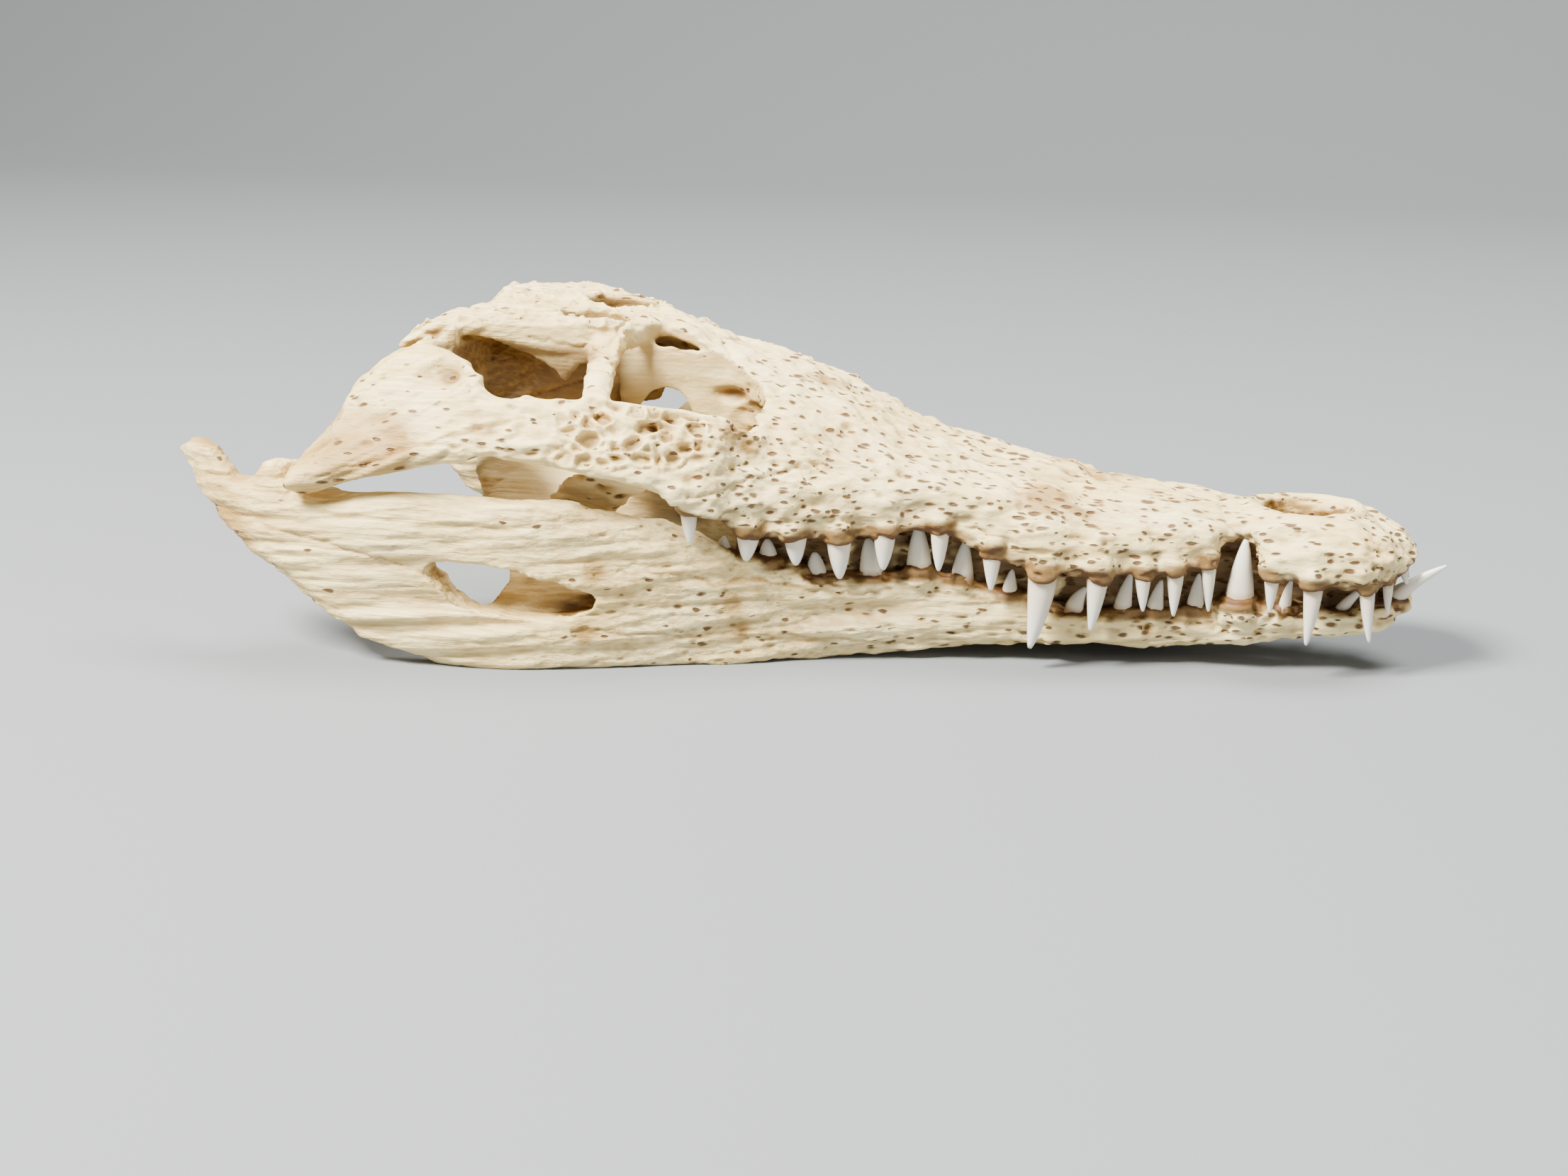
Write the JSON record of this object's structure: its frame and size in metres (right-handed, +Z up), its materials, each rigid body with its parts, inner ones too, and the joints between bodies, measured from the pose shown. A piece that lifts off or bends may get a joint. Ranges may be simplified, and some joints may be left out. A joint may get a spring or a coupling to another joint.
{
  "type": "crocodile skull",
  "caption": "Dry crocodile skull with its lower jaw closed beneath it: long pitted snout, interlocking conical teeth, open eye sockets and jaw windows.",
  "frame": {"origin": "under the middle of the overall box, on the surface the skull lies on", "axes": "+X towards the tip of the snout, +Y to the skull's left, +Z up"},
  "size_m": [0.3894, 0.1718, 0.1032],
  "materials": {
    "cranium_bone": "dry ivory bone, chalky, finely pitted, tan stains in the hollows",
    "jaw_bone": "dry ivory bone with long fine grain and brown stain along the tooth row",
    "stained_bone": "dry bone stained tan to brown around the jaw joint and inner hollows"
  },
  "bodies": {
    "root": {"rostrum": "cranium_bone", "skull_roof": "cranium_bone", "braincase": "stained_bone", "palate": "cranium_bone", "jugal_left": "cranium_bone", "quadrate_left": "stained_bone", "ectopterygoid_left": "stained_bone", "dentary_left": "jaw_bone", "surangular_left": "jaw_bone", "angular_left": "jaw_bone", "articular_left": "stained_bone", "jugal_right": "cranium_bone", "quadrate_right": "stained_bone", "ectopterygoid_right": "stained_bone", "dentary_right": "jaw_bone", "surangular_right": "jaw_bone", "angular_right": "jaw_bone", "articular_right": "stained_bone"}
  },
  "joints": []
}
